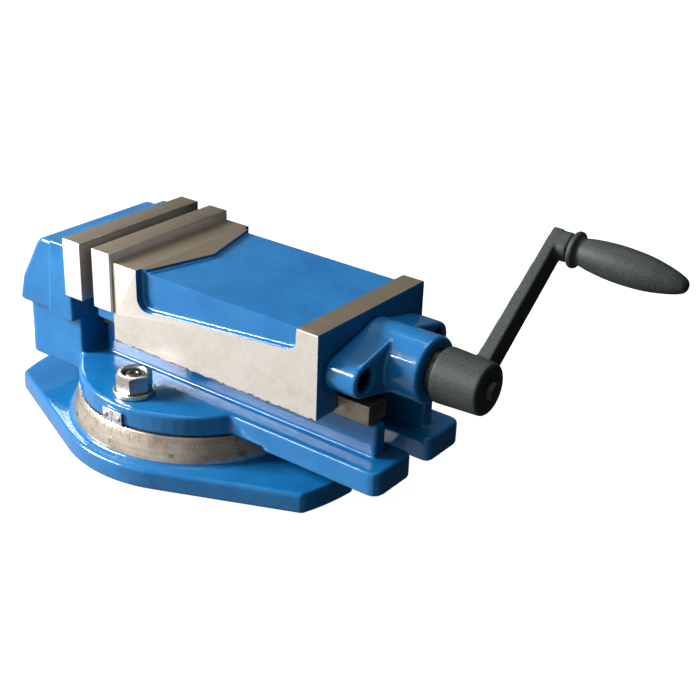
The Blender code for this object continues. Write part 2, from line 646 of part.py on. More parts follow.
def swing(along, across):
    """A point of the crank arm's own plane, as y and z."""
    y = along * math.cos(ARM_ANGLE) - across * math.sin(ARM_ANGLE)
    z = along * math.sin(ARM_ANGLE) + across * math.cos(ARM_ANGLE)
    return y, SCREW_Z + z


def build_crank(axis):
    at = (0, 0, SCREW_Z)
    hub = turned("crank", "+X", at,
                 [(0, HUB_END), (HUB_R - 1.0, HUB_END), (HUB_R, HUB_END - 1.0),
                  (HUB_REAR_R, HUB_REAR + 0.8), (HUB_REAR_R - 0.8, HUB_REAR), (0, HUB_REAR)], sides=32)
    arm = rounded([(2, -ARM_HALF_HUB, 0), (ARM_REACH + 7.2, -ARM_HALF_END, 2.5),
                   (ARM_REACH + 7.2, ARM_HALF_END, 2.5), (2, ARM_HALF_HUB, 0)], 3)
    neck_half = ARM_HALF_END - 0.1
    neck = rounded([(ARM_REACH - 7.6, -neck_half, 5), (ARM_REACH + 7.1, -neck_half, 4),
                    (ARM_REACH + 7.1, neck_half, 4), (ARM_REACH - 7.6, neck_half, 5)], 4)
    bar = prism("crank_arm", "YZ", [swing(*p) for p in arm], ARM_REAR_HUB - 0.5, ARM_FRONT, round_by=0.8)
    slope = (ARM_REAR_END - ARM_REAR_HUB) / ARM_REACH
    taper = prism("arm_taper", "XY", [(170, -20), (ARM_REAR_HUB - 20 * slope, -20),
                                      (ARM_REAR_HUB + 120 * slope, 120), (170, 120)], -20, 20)
    taper.location = (0, 0, SCREW_Z * MM)
    taper.rotation_euler = (ARM_ANGLE, 0, 0)
    cut(bar, taper)
    join(hub, bar, prism("crank_neck", "YZ", [swing(*p) for p in neck], ARM_REAR_END + 2, NECK_FRONT,
                         round_by=0.8))
    square = box("hub_square", (170, 191.8), (-SQUARE_HALF - GAP, SQUARE_HALF + GAP),
                 (-SQUARE_HALF - GAP, SQUARE_HALF + GAP))
    square.location = (square.location.x, 0, SCREW_Z * MM)
    square.rotation_euler = (ARM_ANGLE, 0, 0)
    grip_y, grip_z = swing(ARM_REACH, 0)
    seat = rod("spindle_seat", "+X", (0, grip_y, grip_z), 192.5, 220, SPINDLE_R + GAP, sides=20)
    cut(hub, square, rod("hub_bolt_hole", "+X", at, 185, 210, 3.4, sides=16), seat)
    finish(hub, "crank_iron", axis)


def build_grip(screw_axis, grip_axis):
    """The spindle fixed in the crank and the grip that turns on it, both along the leaning grip axis."""
    y, z = swing(ARM_REACH, 0)
    at = (NECK_FRONT, y, z)
    spindle = turned("grip_spindle", "+X", at,
                     [(0, 55), (SPINDLE_R - 0.6, 55), (SPINDLE_R, 54.4), (SPINDLE_R, 0.2),
                      (SPINDLE_R - 0.6, -9.6), (0, -9.6)], sides=20)
    start = GRIP_START - NECK_FRONT
    profile = [(0.0, 66.8), (2.2, 66.0), (4.1, 63.7), (6.1, 58.5), (8.2, 50.0), (9.6, 39.5), (10.0, 30.0),
               (9.6, 20.0), (8.6, 11.0), (7.6, 5.8), (8.4, 4.6), (9.9, 3.8), (10.2, 2.7), (9.9, 1.5),
               (8.4, start + 0.2), (0, start)]
    grip = turned("handle_grip", "+X", at, profile, sides=24)
    bore = rod("grip_bore", "+X", at, -5, 55.4, SPINDLE_R + GAP, sides=20)
    for piece in (spindle, grip, bore):
        piece.rotation_euler = (0.0, math.pi / 2 + GRIP_LEAN, 0.0)
    cut(grip, bore)
    finish(spindle, "plain_steel", screw_axis)
    finish(grip, "crank_iron", grip_axis)


def main():
    base_axis = axis_empty("base_frame", (0, 0, 0))
    swivel_axis = axis_empty("swivel_axis", (0, 0, BED_LOW))
    jaw_axis = axis_empty("jaw_slide_axis", (0, 0, SCREW_Z))
    screw_axis = axis_empty("screw_axis", (HUB_REAR, 0, SCREW_Z))
    grip_axis = axis_empty("grip_axis", (NECK_FRONT, *swing(ARM_REACH, 0)), (0.0, GRIP_LEAN, 0.0))
    bpy.context.view_layer.update()

    build_base(base_axis)
    build_bed(swivel_axis)
    build_ways(swivel_axis)
    build_jaw_plate("fixed", FIXED_FACE, 1, swivel_axis)
    build_clamps(swivel_axis)
    build_index_plate(swivel_axis)
    build_screw_nut(swivel_axis)
    build_moving_jaw(jaw_axis)
    build_jaw_plate("moving", MOVING_FACE, -1, jaw_axis)
    build_keepers(jaw_axis)
    build_bracket(jaw_axis)
    build_screw(screw_axis)
    build_crank(screw_axis)
    build_grip(screw_axis, grip_axis)


main()
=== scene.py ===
"""Looks of the swivel machine vise: enamelled castings with machined faces, fasteners, light and camera.

Lengths are millimetres in the part's own frame, and MM turns them into metres. Light sizes and distances
are metres.
"""
import json
import math

import bmesh
import bpy
from mathutils import Matrix, Vector

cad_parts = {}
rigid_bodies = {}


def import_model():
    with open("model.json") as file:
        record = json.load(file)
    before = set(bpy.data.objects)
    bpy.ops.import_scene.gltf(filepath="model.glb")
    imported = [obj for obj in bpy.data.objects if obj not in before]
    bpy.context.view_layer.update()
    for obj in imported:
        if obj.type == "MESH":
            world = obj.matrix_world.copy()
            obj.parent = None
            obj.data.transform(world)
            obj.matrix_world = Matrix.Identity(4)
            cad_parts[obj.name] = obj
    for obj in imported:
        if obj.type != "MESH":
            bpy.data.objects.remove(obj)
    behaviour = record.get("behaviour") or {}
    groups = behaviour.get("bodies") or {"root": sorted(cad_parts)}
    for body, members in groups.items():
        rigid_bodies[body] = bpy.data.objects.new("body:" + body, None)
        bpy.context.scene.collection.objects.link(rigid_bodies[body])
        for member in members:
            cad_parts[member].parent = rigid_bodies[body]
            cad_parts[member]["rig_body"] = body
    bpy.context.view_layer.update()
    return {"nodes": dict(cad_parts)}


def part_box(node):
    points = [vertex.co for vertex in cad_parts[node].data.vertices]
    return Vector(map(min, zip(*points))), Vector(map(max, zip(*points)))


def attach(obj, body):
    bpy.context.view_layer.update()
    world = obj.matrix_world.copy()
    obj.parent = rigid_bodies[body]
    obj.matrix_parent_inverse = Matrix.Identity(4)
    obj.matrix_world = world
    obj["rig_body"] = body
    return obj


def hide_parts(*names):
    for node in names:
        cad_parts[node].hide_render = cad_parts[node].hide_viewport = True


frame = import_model()

MM = 0.001
AXES = {"+X": Vector((1, 0, 0)), "-X": Vector((-1, 0, 0)), "-Y": Vector((0, -1, 0)),
        "+Z": Vector((0, 0, 1)), "-Z": Vector((0, 0, -1))}
SIDES = ("near", "far")

RING_LINE = ((78.4, 14.8), (73.5, 29.2))      # the ring's cone, as (radius, height) of its foot and top
CAP_HEADS = {5: (4.2, 5.0), 6: (5.0, 6.0), 8: (6.5, 8.0), 10: (8.0, 10.0)}   # by thread: head radius, height
JAW_LOW = 65.1                                # the moving jaw's machined underside
LIP_TOP = 83.2                                # top of the lip that the moving plate stands on
PLATE_BACK = -22.0                            # the face the moving plate leans on
PAINTED_TO = -22.6                            # the machined sides start here; the lip before it is painted
JAW_OUTLINE = [(-39.0, LIP_TOP), (-39.0, JAW_LOW), (131.0, JAW_LOW), (131.0, 114.6), (PLATE_BACK, 114.6),
               (PLATE_BACK, LIP_TOP)]
SCREW_Z = 90.1
SCREW_R = 9.0
CRANK_TURN = math.radians(38.2)               # how far the crank stands round from level
GRIP_AT = (202.6, 72.457, 147.117)
GRIP_AXIS = Vector((0.998441, 0, -0.055822))


def corners(node):
    """Lowest and highest corner of a CAD node, in millimetres."""
    low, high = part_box(node)
    return low / MM, high / MM


# ---------------------------------------------------------------- materials

class Shader:
    """A procedural material, with short calls for its nodes."""

    def __init__(self, name, **settings):
        self.material = bpy.data.materials.new(name)
        self.material.use_nodes = True
        self.tree = self.material.node_tree
        self.surface = self.tree.nodes["Principled BSDF"]
        for socket, value in settings.items():
            self.surface.inputs[socket.replace("_", " ")].default_value = value
        self.position = self.node("ShaderNodeTexCoord").outputs["Object"]

    def node(self, kind, links=None, **settings):
        made = self.tree.nodes.new(kind)
        for name, value in settings.items():
            setattr(made, name, value)
        for socket, source in (links or {}).items():
            target = made.inputs[socket]
            if isinstance(source, bpy.types.NodeSocket):
                self.tree.links.new(source, target)
            else:
                target.default_value = source
        return made

    def noise(self, size, stretch=(1, 1, 1), detail=4.0, rough=0.55):
        """Noise whose features are about size millimetres, longer along the stretched axes."""
        scaled = self.node("ShaderNodeMapping", {"Vector": self.position})
        scaled.inputs["Scale"].default_value = [1000.0 / size / s for s in stretch]
        made = self.node("ShaderNodeTexNoise", {"Vector": scaled.outputs[0], "Scale": 1.0,
                                                "Detail": detail, "Roughness": rough})
        return made.outputs["Fac"]

    def ramp(self, source, low, high, start=0.0, end=1.0):
        """Maps start..end of a value to low..high."""
        return self.node("ShaderNodeMapRange", {"Value": source, "From Min": start, "From Max": end,
                                                "To Min": low, "To Max": high}).outputs[0]

    def mix(self, factor, first, second, how="MIX"):
        made = self.node("ShaderNodeMix", data_type="RGBA", blend_type=how)
        for index, source in ((0, factor), (6, first), (7, second)):
            if isinstance(source, bpy.types.NodeSocket):
                self.tree.links.new(source, made.inputs[index])
            elif index:
                made.inputs[index].default_value = (*source, 1.0)
            else:
                made.inputs[index].default_value = source
        return made.outputs[2]

    def math(self, how, first, second):
        return self.node("ShaderNodeMath", {0: first, 1: second}, operation=how).outputs[0]

    def bumps(self, *layers):
        """Adds bump layers, each a height source and its depth in millimetres."""
        normal = None
        for height, depth in layers:
            links = {"Height": height, "Distance": depth * MM, "Strength": 1.0}
            if normal:
                links["Normal"] = normal
            normal = self.node("ShaderNodeBump", links).outputs[0]
        self.tree.links.new(normal, self.surface.inputs["Normal"])

    def use(self, socket, source):
        self.tree.links.new(source, self.surface.inputs[socket])


def enamel():
    """Thick glossy enamel over rough cast iron: orange peel, soft lumps, faint mottling and specks."""
    s = Shader("blue_enamel", Roughness=0.24, Coat_Weight=0.5, Coat_Roughness=0.05, Specular_IOR_Level=0.2)
    broad = s.noise(38, detail=3)
    mottle = s.noise(7, detail=5, rough=0.6)
    colour = s.mix(s.ramp(broad, 0, 1, 0.35, 0.65), (0.006, 0.128, 0.350), (0.010, 0.165, 0.410))
    colour = s.mix(s.ramp(mottle, 0, 0.22, 0.35, 0.75), colour, (0.003, 0.085, 0.27))
    pits = s.node("ShaderNodeTexVoronoi", {"Vector": s.position, "Scale": 95.0}).outputs["Distance"]
    colour = s.mix(s.ramp(pits, 0.5, 0.0, 0.03, 0.06), colour, (0.005, 0.02, 0.07))
    s.use("Base Color", colour)
    s.use("Roughness", s.ramp(mottle, 0.16, 0.30, 0.3, 0.75))
    s.bumps((s.noise(16, detail=2), 0.55), (s.noise(3.2, detail=2), 0.05), (s.noise(0.9, detail=1), 0.006))
    return s.material


def machined(name, light, dark, lay, roughness, stain=0.5, metallic=0.85, lines=0.25, chipped=None):
    """Cut or ground iron: faint tool lines that run along the lay, cloudy brown stains and small dents.

    Dirt and old paint cling in chips along the lower edge, whose height chipped gives.
    """
    s = Shader(name, Metallic=metallic, Specular_IOR_Level=0.5)
    fine = s.noise(0.35, lay, detail=3, rough=0.7)
    coarse = s.noise(1.6, lay, detail=2)
    cloud = s.noise(17, detail=6, rough=0.68)
    spot = s.noise(5, detail=4, rough=0.6)
    colour = s.mix(s.ramp(cloud, 0, stain, 0.44, 0.70), light, dark)
    colour = s.mix(s.ramp(spot, 0, 0.5 * stain, 0.52, 0.75), colour, [0.8 * value for value in dark])
    colour = s.mix(s.ramp(coarse, 0, lines, 0.35, 0.75), colour, dark)
    colour = s.mix(s.ramp(fine, 0, lines, 0.45, 0.8), colour, [0.6 * value for value in dark])
    if chipped:
        height = s.node("ShaderNodeSeparateXYZ", {0: s.position}).outputs["Z"]
        near_edge = s.ramp(height, 0.34, 0.0, chipped * MM, (chipped + 2.6) * MM)
        chips = s.ramp(s.math("ADD", near_edge, s.noise(1.7, (2.2, 1, 1), detail=3)), 0, 0.85, 0.76, 0.80)
        colour = s.mix(chips, colour, (0.035, 0.05, 0.07))
    s.use("Base Color", colour)
    s.use("Roughness", s.ramp(s.math("ADD", fine, cloud), roughness - 0.07, roughness + 0.12, 0.7, 1.3))
    s.bumps((fine, 0.04 * lines), (coarse, 0.04 * lines), (s.noise(9, detail=2), 0.05))
    return s.material


def steel(name, colour, roughness, tint=None):
    """Plated or turned steel with light handling marks."""
    s = Shader(name, Metallic=1.0)
    smudge = s.noise(6, detail=5, rough=0.65)
    dark = tint or [0.45 * value for value in colour]
    s.use("Base Color", s.mix(s.ramp(smudge, 0, 0.55, 0.42, 0.75), colour, dark))
    s.use("Roughness", s.ramp(smudge, roughness - 0.06, roughness + 0.14, 0.3, 0.7))
    s.bumps((s.noise(0.5, detail=3), 0.004), (s.noise(6, detail=2), 0.01))
    return s.material


def crank_paint():
    """Dark matt paint over a fine sand-cast skin."""
    s = Shader("crank_paint", Metallic=0.1, Specular_IOR_Level=0.35)
    grain = s.noise(0.75, detail=6, rough=0.7)
    cloud = s.noise(11, detail=3)
    colour = s.mix(s.ramp(grain, 0, 1, 0.36, 0.66), (0.006, 0.010, 0.009), (0.058, 0.072, 0.072))
    colour = s.mix(s.ramp(cloud, 0, 0.4, 0.4, 0.7), colour, (0.024, 0.036, 0.036))
    s.use("Base Color", colour)
    s.use("Roughness", s.ramp(grain, 0.48, 0.74, 0.3, 0.7))
    s.bumps((grain, 0.10), (s.noise(5, detail=2), 0.12))
    return s.material


def plain(name, colour, roughness, metallic=0.0, grain=1.2, depth=0.01):
    s = Shader(name, Metallic=metallic)
    speck = s.noise(grain, detail=4)
    s.use("Base Color", s.mix(s.ramp(speck, 0, 1, 0.3, 0.7), [0.8 * value for value in colour], colour))
    s.use("Roughness", s.ramp(speck, roughness - 0.05, roughness + 0.08, 0.3, 0.7))
    s.bumps((speck, depth))
    return s.material


ALONG_X, ALONG_Y, ALL_ROUND = (60, 1, 1), (1, 60, 1), (60, 60, 1)
ENAMEL = enamel()
SIDE_CUT = machined("iron_side_cut", (0.60, 0.565, 0.52), (0.41, 0.355, 0.28), ALONG_X, 0.45,
                    metallic=0.6, lines=0.07, chipped=JAW_LOW)
# The jaw top's darker brown is painted reflection of a brown surround, on the same machined iron as the side.
TOP_PAINTED_REFLECTION = machined("iron_top_painted_reflection", (0.42, 0.355, 0.27), (0.27, 0.22, 0.155), ALONG_Y, 0.33)
RING_TURNED = machined("iron_ring_turned", (0.66, 0.60, 0.52), (0.24, 0.19, 0.13), ALL_ROUND, 0.24, stain=0.7)
WAY_GROUND = machined("iron_way_ground", (0.30, 0.265, 0.22), (0.14, 0.11, 0.08), ALONG_X, 0.36, stain=0.9)
# The plates' browner top is painted reflection and their near-white ends and back painted highlight; the steel
# is the same all over.
PLATE_TOP_PAINTED_REFLECTION = machined("plate_top_painted_reflection", (0.44, 0.38, 0.30), (0.29, 0.24, 0.18), ALONG_Y, 0.30)
PLATE_PAINTED_HIGHLIGHT = machined("plate_painted_highlight", (0.95, 0.945, 0.93), (0.62, 0.61, 0.60), ALONG_Y, 0.34, stain=0.25,
                        metallic=0.6, lines=0.1)
PLATE_FACE = machined("plate_face", (0.40, 0.385, 0.36), (0.28, 0.26, 0.235), ALONG_Y, 0.34)
PLAIN_STEEL = steel("plain_steel", (0.50, 0.49, 0.48), 0.30)
ZINC = steel("zinc_plate", (0.86, 0.80, 0.62), 0.24, tint=(0.42, 0.30, 0.08))
OILED_STEEL = steel("oiled_steel", (0.11, 0.10, 0.09), 0.34)
BLACK_OXIDE = steel("black_oxide", (0.035, 0.035, 0.037), 0.38)
BRONZE = steel("bronze", (0.62, 0.42, 0.20), 0.32)
CRANK_PAINT = crank_paint()
ALUMINIUM = steel("aluminium", (0.80, 0.80, 0.79), 0.34)
INK = plain("mark_fill", (0.035, 0.03, 0.025), 0.6)


# ---------------------------------------------------------------- mesh tools

def link(name, mesh):
    obj = bpy.data.objects.new(name, mesh)
    bpy.context.scene.collection.objects.link(obj)
    return obj


def from_bmesh(name, bm):
    bmesh.ops.recalc_face_normals(bm, faces=bm.faces)
    mesh = bpy.data.meshes.new(name)
    bm.to_mesh(mesh)
    bm.free()
    return link(name, mesh)


def modify(obj, kind, **settings):
    modifier = obj.modifiers.new(kind.lower(), kind)
    for name, value in settings.items():
        setattr(modifier, name, value)
    return modifier


def bake(obj):
    """Turns the object's modifiers into its mesh."""
    graph = bpy.context.evaluated_depsgraph_get()
    graph.update()
    mesh = bpy.data.meshes.new_from_object(obj.evaluated_get(graph))
    obj.modifiers.clear()
    obj.data = mesh
    return obj


def boolean(obj, how, *tools, solver="EXACT"):
    for tool in tools:
        modify(obj, "BOOLEAN", operation=how, object=tool, solver=solver)
    bake(obj)
    for tool in tools:
        bpy.data.objects.remove(tool, do_unlink=True)
    return obj


def slab(name, low, high):
    bm = bmesh.new()
    bmesh.ops.create_cube(bm, size=1.0)
    low, high = Vector(low), Vector(high)
    for vert in bm.verts:
        vert.co = Vector([(low[i] if vert.co[i] < 0 else high[i]) * MM for i in range(3)])
    return from_bmesh(name, bm)


def prism(name, outline, low, high, across="Y"):
    """A flat outline of (x, z) points pulled from low to high across Y, or of (x, y) points across Z."""
    bm = bmesh.new()
    ends = []
    for level in (low, high):
        points = [(a, level, b) if across == "Y" else (a, b, level) for a, b in outline]
        ends.append([bm.verts.new([value * MM for value in point]) for point in points])
    bm.faces.new(ends[0])
    bm.faces.new(ends[1])
    count = len(outline)
    for i in range(count):
        j = (i + 1) % count
        bm.faces.new((ends[0][i], ends[0][j], ends[1][j], ends[1][i]))
    return from_bmesh(name, bm)


def placed(at, direction):
    """A matrix that puts local Z along a direction at a point given in millimetres."""
    turn = Vector(direction).to_track_quat("Z", "Y").to_matrix().to_4x4()
    return Matrix.Translation(Vector(at) * MM) @ turn


def turned(name, profile, at, direction, sides=64, ring=False):
    """A turned piece. The profile is (radius, height) points, and a ring's profile is closed."""
    bm = bmesh.new()
    rings = []
    for radius, height in profile:
        if radius < 1e-6:
            rings.append([bm.verts.new((0, 0, height * MM))])
            continue
        angles = [2 * math.pi * k / sides for k in range(sides)]
        rings.append([bm.verts.new(polar(radius, a, height)) for a in angles])
    pairs = list(zip(rings, rings[1:]))
    if ring:
        pairs.append((rings[-1], rings[0]))
    for upper, lower in pairs:
        for k in range(sides):
            loop = [upper[k % len(upper)], upper[(k + 1) % len(upper)],
                    lower[(k + 1) % len(lower)], lower[k % len(lower)]]
            loop = list(dict.fromkeys(loop))
            if len(loop) > 2:
                bm.faces.new(loop)
    bm.transform(placed(at, direction))
    return from_bmesh(name, bm)


def rod(name, at, direction, low, high, radius, sides=64):
    return turned(name, [(0, high), (radius, high), (radius, low), (0, low)], at, direction, sides)


def copy_of(node, name):
    """A closed copy of a CAD node's mesh."""
    bm = bmesh.new()
    bm.from_mesh(frame["nodes"][node].data)
    bmesh.ops.remove_doubles(bm, verts=bm.verts, dist=0.002 * MM)
    return from_bmesh(name, bm)


def merge(obj, *others):
    """Moves other meshes into obj's mesh, as they are."""
    bm = bmesh.new()
    bm.from_mesh(obj.data)
    for other in others:
        bm.from_mesh(other.data)
        bpy.data.objects.remove(other, do_unlink=True)
    bm.to_mesh(obj.data)
    bm.free()
    return obj


def cast(obj, voxel, rounds, factor=0.5):
    """Melts overlapping solids into one skin and softens its edges and corners, as a casting's are."""
    modify(obj, "REMESH", mode="VOXEL", voxel_size=voxel * MM, use_smooth_shade=True)
    modify(obj, "SMOOTH", iterations=rounds, factor=factor)
    return bake(obj)


def paint(obj, *materials):
    obj.data.materials.clear()
    for material in materials:
        obj.data.materials.append(material)
    return obj


def smooth(obj, angle=32):
    obj.data.shade_smooth()
    obj.data.set_sharp_from_angle(angle=math.radians(angle))
    return obj


def soft_edges(obj, width, segments=2, angle=35):
    modify(obj, "BEVEL", width=width * MM, segments=segments, limit_method="ANGLE",
           angle_limit=math.radians(angle), harden_normals=False)
    return bake(obj)


def stand_in(obj, body, slot, *nodes):
    """Hands a finished piece over: it rides on its body and stands for the CAD nodes."""
    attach(obj, body)
    if nodes:
        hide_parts(*nodes)
    return obj


def assign_faces(obj, choose):
    """Gives each face the material index that choose(centre in mm, normal) returns."""
    for face in obj.data.polygons:
        face.material_index = choose(face.center / MM, face.normal)


# ---------------------------------------------------------------- base and ring

def polar(radius, angle, height):
    """A point in metres from a radius and a height in millimetres."""
    return radius * math.cos(angle) * MM, radius * math.sin(angle) * MM, height * MM


def on_ring(share, outward):
    """Radius and height on the ring's cone, share 0 at its foot and 1 at its top."""
    (r0, z0), (r1, z1) = RING_LINE
    return r0 + (r1 - r0) * share + outward, z0 + (z1 - z0) * share


def build_base():
    base = copy_of("swivel_base", "base_casting")
    cast(base, 0.75, 5)
    paint(smooth(base, 180), ENAMEL)
    stand_in(base, "base", "blue_enamel", "swivel_base")


def build_ring():
    """The machined ring with a cut line at each degree, longer at each five and ten."""
    proud = 0.25                      # how far the ring stands out from the CAD cone
    half = 0.13                       # half of a line's width, in degrees
    depth = 0.28
    reach = {1: 0.72, 5: 0.60, 10: 0.48}
    levels = [0.0, 0.05]
    for share in sorted(reach.values()):
        levels += [share - 0.012, share + 0.012]
    levels += [0.97, 1.0]
    bm = bmesh.new()
    columns = []
    for degree in range(360):
        step = 10 if degree % 10 == 0 else 5 if degree % 5 == 0 else 1
        for offset, inside in ((-0.35, 0), (-half, 0), (-half / 2, 1), (half / 2, 1), (half, 0), (0.35, 0)):
            angle = math.radians(degree + offset - 90)
            column = []
            for share in levels:
                cut = depth if inside and share > reach[step] else 0.0
                radius, z = on_ring(share, proud - cut)
                if share in (0.0, 1.0):
                    radius -= proud
                column.append(bm.verts.new(polar(radius, angle, z)))
            for share, inward in ((1.0, -3.0), (0.0, -6.0)):
                radius, z = on_ring(share, inward)
                column.append(bm.verts.new(polar(radius, angle, z)))
            columns.append(column)
    for here, there in zip(columns, columns[1:] + columns[:1]):
        count = len(here)
        for k in range(count):
            m = (k + 1) % count
            bm.faces.new((here[k], there[k], there[m], here[m]))
    ring = smooth(paint(from_bmesh("graduated_ring", bm), RING_TURNED))
    stand_in(ring, "base", "machined_iron")


def build_digits():
    """Stamped degree numbers below the long lines."""
    digits = []
    for degree in range(-150, 181, 30):
        text = bpy.data.curves.new("digits", "FONT")
        text.body = str(abs(degree))
        text.size = 3.6 * MM
        text.align_x = "CENTER"
        text.align_y = "CENTER"
        text.extrude = 0.06 * MM
        obj = link("digit_curve", text)
        radius, z = on_ring(0.28, 0.26)
        angle = math.radians(degree - 90)
        outward = Vector((math.cos(angle), math.sin(angle), 0.32)).normalized()
        across = Vector((-math.sin(angle), math.cos(angle), 0))
        upward = outward.cross(across)
        turn = Matrix((across, upward, outward)).transposed().to_4x4()
        obj.matrix_world = Matrix.Translation(polar(radius, angle, z)) @ turn
        bpy.context.view_layer.update()
        graph = bpy.context.evaluated_depsgraph_get()
        mesh = bpy.data.meshes.new_from_object(obj.evaluated_get(graph))
        mesh.transform(obj.matrix_world)
        bpy.data.objects.remove(obj, do_unlink=True)
        digits.append(link("digit", mesh))
    whole = merge(digits[0], *digits[1:])
    whole.name = "ring_digits"
    paint(whole, INK)
    stand_in(whole, "base", "machined_iron")


# ---------------------------------------------------------------- bed and ways

def build_bed():
    bed = copy_of("vise_bed", "bed_casting")
    cast(bed, 0.75, 5)
    paint(smooth(bed, 180), ENAMEL)
    stand_in(bed, "bed", "blue_enamel", "vise_bed")


def counterbore(at, way, head_r, head_h, shank_r):
    """A cutter for a cap screw's head and shank, its mouth past the face at the given point."""
    profile = [(0, 5), (head_r, 5), (head_r, -head_h), (shank_r, -head_h), (shank_r, -40), (0, -40)]
    return turned("cutter", profile, at, AXES[way], 48)


def screw_seat(node, way):
    """The middle of a cap screw's head top, from its CAD node."""
    low, high = corners(node)
    middle = (low + high) / 2
    axis = AXES[way]
    for i in range(3):
        if axis[i]:
            middle[i] = high[i] if axis[i] > 0 else low[i]
    return middle


def cutters_for(nodes, way, thread):
    head_r, head_h = CAP_HEADS[thread]
    return [counterbore(screw_seat(node, way), way, head_r + 0.45, head_h + 0.2, thread / 2 + 0.3)
            for node in nodes]


def build_ways():
    for side in SIDES:
        node = "way_" + side
        way = slab("ground_" + node, *corners(node))
        soft_edges(way, 0.6, 3)
        boolean(way, "DIFFERENCE", *cutters_for([f"way_screw_{side}_{k}" for k in (1, 2, 3)], "+Z", 5))
        paint(smooth(way), WAY_GROUND)
        stand_in(way, "bed", "machined_iron", node)


def build_plates():
    """The two jaw plates: near-white ends and back as painted highlight, a browner top as painted reflection
    and a grey gripping face, all the same ground steel.
    """

    def finish_of(centre, normal):
        # top faces take the painted reflection, the gripping face its grey, the rest the painted highlight
        if normal.z > 0.5:
            return 1
        return 2 if grip_side * normal.x > 0.5 else 0

    for name, body, way, grip_side in (("fixed", "bed", "+X", 1), ("moving", "moving_jaw", "-X", -1)):
        node = name + "_jaw_plate"
        low, high = corners(node)
        plate = slab(name + "_plate_ground", low, high)
        soft_edges(plate, 0.55, 3)
        screws = [f"{name}_plate_screw_{side}" for side in SIDES]
        boolean(plate, "DIFFERENCE", *cutters_for(screws, way, 10))
        paint(smooth(plate), PLATE_PAINTED_HIGHLIGHT, PLATE_TOP_PAINTED_REFLECTION, PLATE_FACE)
        assign_faces(plate, finish_of)
        stand_in(plate, body, "ground_steel", node)


# ---------------------------------------------------------------- moving jaw and bracket

def build_jaw():
    """The casting is made a little too big, then cut to its machined planes, so paint stays in the hollows."""
    low, high = corners("moving_jaw")
    spare = 1.2                       # how much too big
    recessed = high.y - 0.9           # the painted lip's sides stand back by this
    jaw = copy_of("moving_jaw", "jaw_casting")
    for vert in jaw.data.vertices:
        point = vert.co / MM
        if abs(abs(point.y) - high.y) < 0.06:
            vert.co.y += math.copysign(spare * MM, point.y)
        if abs(point.z - high.z) < 0.06:
            vert.co.z += spare * MM
        if abs(point.z - JAW_LOW) < 0.06:
            vert.co.z -= spare * MM
    end, far, rounding = -40, high.y + 4, 4
    lip_cuts = []
    for sign in (-1, 1):
        side = [(end, sign * recessed), (PAINTED_TO, sign * recessed), (PAINTED_TO, sign * far),
                (end, sign * far)]
        lip_cuts.append(prism("lip_cut", side, 60, LIP_TOP, across="Z"))
        corner = [(PAINTED_TO - rounding * math.sin(a), sign * (recessed - rounding + rounding * math.cos(a)))
                  for a in (math.radians(15 * k) for k in range(7))]
        corner += [(end, sign * (recessed - rounding)), (end, sign * far), (PAINTED_TO, sign * far)]
        lip_cuts.append(prism("corner_cut", corner, 60, 76.2, across="Z"))
    boolean(jaw, "DIFFERENCE", *lip_cuts)
    lip_top = slab("lip_top", (low.x, -recessed, 80), (-15.0, recessed, LIP_TOP + spare))
    front_top = slab("front_top", (PLATE_BACK - spare, low.y - spare, 82.4),
                     (-15.0, high.y + spare, high.z + spare))
    merge(jaw, lip_top, front_top)
    cast(jaw, 0.75, 5)
    shape = prism("shape", JAW_OUTLINE, low.y, high.y)
    soft_edges(shape, 0.45, 2)
    boolean(jaw, "INTERSECT", shape, solver="MANIFOLD")
    paint(smooth(jaw, 30), ENAMEL, SIDE_CUT, TOP_PAINTED_REFLECTION)

    def finish_of(centre, normal):
        if abs(normal.y) > 0.5 and abs(centre.y) > high.y - 0.46 and centre.x > PAINTED_TO - 0.3:
            return 1
        # the top faces take the darker brown that stands for painted reflection
        if normal.z > 0.5 and centre.z > high.z - 0.46:
            return 2
        if centre.z < JAW_LOW + 0.5 or centre.x < PLATE_BACK + 0.5 and centre.z > LIP_TOP - 0.7:
            return 1
        return 0

    assign_faces(jaw, finish_of)
    stand_in(jaw, "moving_jaw", "machined_iron", "moving_jaw")


def build_bracket():
    bracket = copy_of("screw_bracket", "bracket_casting")
    cast(bracket, 0.6, 9)
    paint(smooth(bracket, 180), ENAMEL)
    stand_in(bracket, "moving_jaw", "blue_enamel", "screw_bracket")


# ---------------------------------------------------------------- fasteners

def hexagon(name, at, direction, low, high, across_flats):
    return rod(name, at, direction, low, high, across_flats / math.sqrt(3), sides=6)


def threaded(name, at, direction, start, end, outer, root, pitch, sides=40):
    """A rod with a right-hand helical thread from start to end along its axis."""
    profile = [(0.0, root), (0.16, root), (0.38, outer), (0.66, outer), (0.88, root)]
    turns = int((end - start) / pitch) + 2
    bm = bmesh.new()
    columns = []
    for k in range(sides):
        angle = 2 * math.pi * k / sides
        column = []
        for turn in range(-1, turns + 1):
            for share, radius in profile:
                height = start + (turn + share + k / sides) * pitch
                inside = min(max(height, start), end)
                r = radius if inside == height else root
                column.append(bm.verts.new(polar(r, angle, inside)))
        columns.append(column)
    step = len(profile)
    count = len(columns[0])
    for k in range(sides):
        here = columns[k]
        there = columns[(k + 1) % sides]
        shift = step if k == sides - 1 else 0
        for i in range(count - 1 - shift):
            bm.faces.new((here[i], here[i + 1], there[i + 1 + shift], there[i + shift]))
    bmesh.ops.remove_doubles(bm, verts=bm.verts, dist=0.002 * MM)
    bmesh.ops.dissolve_degenerate(bm, dist=0.002 * MM, edges=bm.edges)
    bmesh.ops.holes_fill(bm, edges=[edge for edge in bm.edges if edge.is_boundary])
    bm.transform(placed(at, direction))
    return from_bmesh(name, bm)


